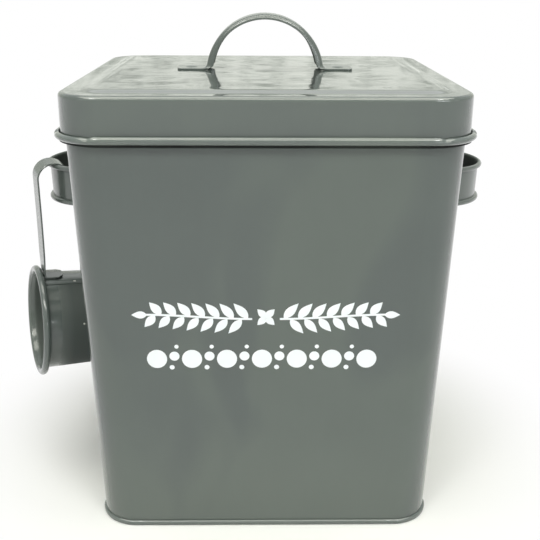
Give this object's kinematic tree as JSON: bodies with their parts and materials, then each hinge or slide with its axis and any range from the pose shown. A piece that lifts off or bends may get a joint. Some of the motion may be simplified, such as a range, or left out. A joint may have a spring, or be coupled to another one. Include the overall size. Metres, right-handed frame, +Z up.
{
  "type": "laundry powder storage tin",
  "caption": "Tapered square enamelled tin with a lift-off lid, an arched lid handle, side handles and a small scoop that hooks on one of them.",
  "frame": {"origin": "middle of the ring that the base seam stands on, at the surface it stands on", "axes": "+Z up, -Y out of the front of the tin, +X to the right seen from the front; the scoop hangs on the -X side"},
  "size_m": [0.2729, 0.206, 0.2695],
  "materials": {
    "enamel": "glossy grey-green enamel",
    "base_enamel": "glossy grey-green enamel, a shade darker"
  },
  "bodies": {
    "tin": {"tin_body": "enamel", "base_plate": "base_enamel", "side_handle_left": "enamel", "side_handle_right": "enamel", "side_rivets_left": "enamel", "side_rivets_right": "enamel", "scoop_cup": "enamel", "scoop_base": "base_enamel", "scoop_handle": "enamel"},
    "lid": {"lid": "enamel", "lid_handle": "enamel", "lid_rivets": "enamel"}
  },
  "joints": [
    {"name": "lid_lift", "type": "slide", "parent": "tin", "child": "lid", "axis": [0, 0, 1], "range_m": [0, 0.25]}
  ]
}
